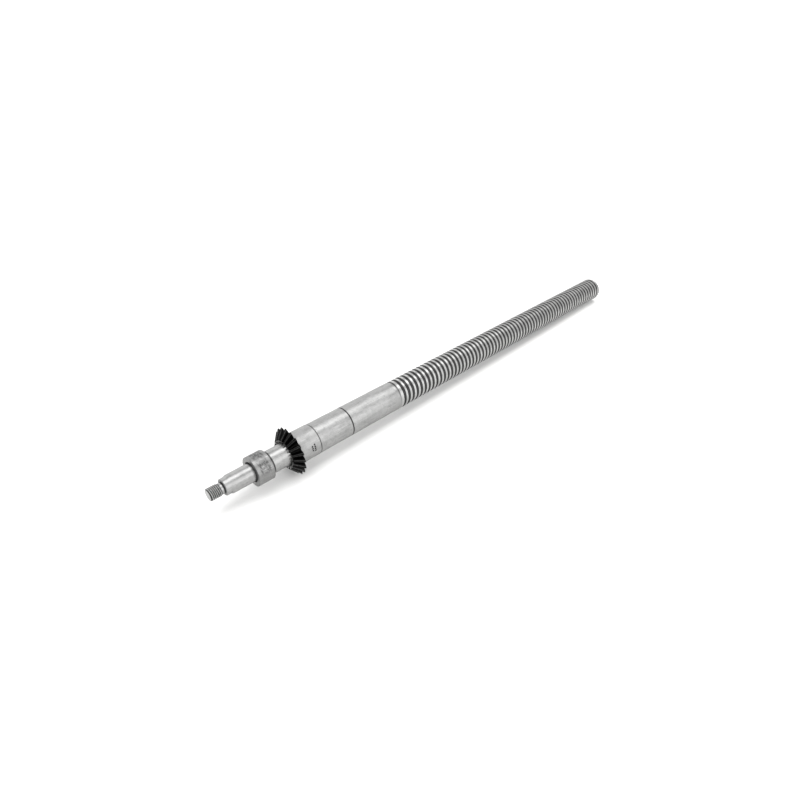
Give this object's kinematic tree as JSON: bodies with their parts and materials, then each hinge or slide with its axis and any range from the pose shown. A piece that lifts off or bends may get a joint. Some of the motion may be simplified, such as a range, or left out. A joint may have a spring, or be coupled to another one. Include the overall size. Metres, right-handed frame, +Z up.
{
  "type": "ball screw assembly",
  "caption": "Left-hand ball screw with a keyed straight bevel gear, a spacer sleeve and a caged needle roller bearing on its stepped, threaded drive end.",
  "frame": {"origin": "centre of the flat end face of the threaded stub, on the screw's axis", "axes": "+X along the screw from the threaded stub to the far end of the ball thread, +Z up as it lies on a table"},
  "size_m": [0.502, 0.0386, 0.0386],
  "materials": {
    "ground_steel": "ground, lightly worn",
    "turned_steel": "turned",
    "ring_steel": "satin, stained",
    "black_oxide": "black oxide",
    "cage_steel": "dull pressed steel"
  },
  "bodies": {
    "screw": {"ball_screw_shaft": "ground_steel", "bevel_gear": "black_oxide", "gear_key": "turned_steel", "gear_set_screw": "black_oxide", "spacer_sleeve": "ground_steel"},
    "outer_ring": {"bearing_outer_ring": "ring_steel"},
    "cage": {"bearing_cage": "cage_steel"},
    "roller_01": {"needle_01": "turned_steel"},
    "roller_02": {"needle_02": "turned_steel"},
    "roller_03": {"needle_03": "turned_steel"},
    "roller_04": {"needle_04": "turned_steel"},
    "roller_05": {"needle_05": "turned_steel"},
    "roller_06": {"needle_06": "turned_steel"},
    "roller_07": {"needle_07": "turned_steel"},
    "roller_08": {"needle_08": "turned_steel"},
    "roller_09": {"needle_09": "turned_steel"},
    "roller_10": {"needle_10": "turned_steel"},
    "roller_11": {"needle_11": "turned_steel"},
    "roller_12": {"needle_12": "turned_steel"},
    "roller_13": {"needle_13": "turned_steel"},
    "roller_14": {"needle_14": "turned_steel"}
  },
  "joints": [
    {"name": "outer_ring_spin", "type": "hinge", "parent": "screw", "child": "outer_ring", "pos_m": [0.0397, 0, 0], "axis": [1, 0, 0], "continuous": true},
    {"name": "cage_spin", "type": "hinge", "parent": "screw", "child": "cage", "pos_m": [0.0397, 0, 0], "axis": [1, 0, 0], "continuous": true},
    {"name": "roller_01_spin", "type": "hinge", "parent": "cage", "child": "roller_01", "pos_m": [0.0397, 0, 0.00814], "axis": [1, 0, 0], "continuous": true},
    {"name": "roller_02_spin", "type": "hinge", "parent": "cage", "child": "roller_02", "pos_m": [0.0397, -0.00353, 0.00733], "axis": [1, 0, 0], "continuous": true},
    {"name": "roller_03_spin", "type": "hinge", "parent": "cage", "child": "roller_03", "pos_m": [0.0397, -0.00636, 0.00507], "axis": [1, 0, 0], "continuous": true},
    {"name": "roller_04_spin", "type": "hinge", "parent": "cage", "child": "roller_04", "pos_m": [0.0397, -0.00794, 0.00181], "axis": [1, 0, 0], "continuous": true},
    {"name": "roller_05_spin", "type": "hinge", "parent": "cage", "child": "roller_05", "pos_m": [0.0397, -0.00794, -0.00181], "axis": [1, 0, 0], "continuous": true},
    {"name": "roller_06_spin", "type": "hinge", "parent": "cage", "child": "roller_06", "pos_m": [0.0397, -0.00636, -0.00507], "axis": [1, 0, 0], "continuous": true},
    {"name": "roller_07_spin", "type": "hinge", "parent": "cage", "child": "roller_07", "pos_m": [0.0397, -0.00353, -0.00733], "axis": [1, 0, 0], "continuous": true},
    {"name": "roller_08_spin", "type": "hinge", "parent": "cage", "child": "roller_08", "pos_m": [0.0397, 0, -0.00814], "axis": [1, 0, 0], "continuous": true},
    {"name": "roller_09_spin", "type": "hinge", "parent": "cage", "child": "roller_09", "pos_m": [0.0397, 0.00353, -0.00733], "axis": [1, 0, 0], "continuous": true},
    {"name": "roller_10_spin", "type": "hinge", "parent": "cage", "child": "roller_10", "pos_m": [0.0397, 0.00636, -0.00507], "axis": [1, 0, 0], "continuous": true},
    {"name": "roller_11_spin", "type": "hinge", "parent": "cage", "child": "roller_11", "pos_m": [0.0397, 0.00794, -0.00181], "axis": [1, 0, 0], "continuous": true},
    {"name": "roller_12_spin", "type": "hinge", "parent": "cage", "child": "roller_12", "pos_m": [0.0397, 0.00794, 0.00181], "axis": [1, 0, 0], "continuous": true},
    {"name": "roller_13_spin", "type": "hinge", "parent": "cage", "child": "roller_13", "pos_m": [0.0397, 0.00636, 0.00507], "axis": [1, 0, 0], "continuous": true},
    {"name": "roller_14_spin", "type": "hinge", "parent": "cage", "child": "roller_14", "pos_m": [0.0397, 0.00353, 0.00733], "axis": [1, 0, 0], "continuous": true}
  ],
  "couplings": [
    {"joint": "cage_spin", "follows": "outer_ring_spin", "ratio": 0.5621},
    {"joint": "roller_01_spin", "follows": "outer_ring_spin", "ratio": 4.0024},
    {"joint": "roller_02_spin", "follows": "outer_ring_spin", "ratio": 4.0024},
    {"joint": "roller_03_spin", "follows": "outer_ring_spin", "ratio": 4.0024},
    {"joint": "roller_04_spin", "follows": "outer_ring_spin", "ratio": 4.0024},
    {"joint": "roller_05_spin", "follows": "outer_ring_spin", "ratio": 4.0024},
    {"joint": "roller_06_spin", "follows": "outer_ring_spin", "ratio": 4.0024},
    {"joint": "roller_07_spin", "follows": "outer_ring_spin", "ratio": 4.0024},
    {"joint": "roller_08_spin", "follows": "outer_ring_spin", "ratio": 4.0024},
    {"joint": "roller_09_spin", "follows": "outer_ring_spin", "ratio": 4.0024},
    {"joint": "roller_10_spin", "follows": "outer_ring_spin", "ratio": 4.0024},
    {"joint": "roller_11_spin", "follows": "outer_ring_spin", "ratio": 4.0024},
    {"joint": "roller_12_spin", "follows": "outer_ring_spin", "ratio": 4.0024},
    {"joint": "roller_13_spin", "follows": "outer_ring_spin", "ratio": 4.0024},
    {"joint": "roller_14_spin", "follows": "outer_ring_spin", "ratio": 4.0024}
  ]
}
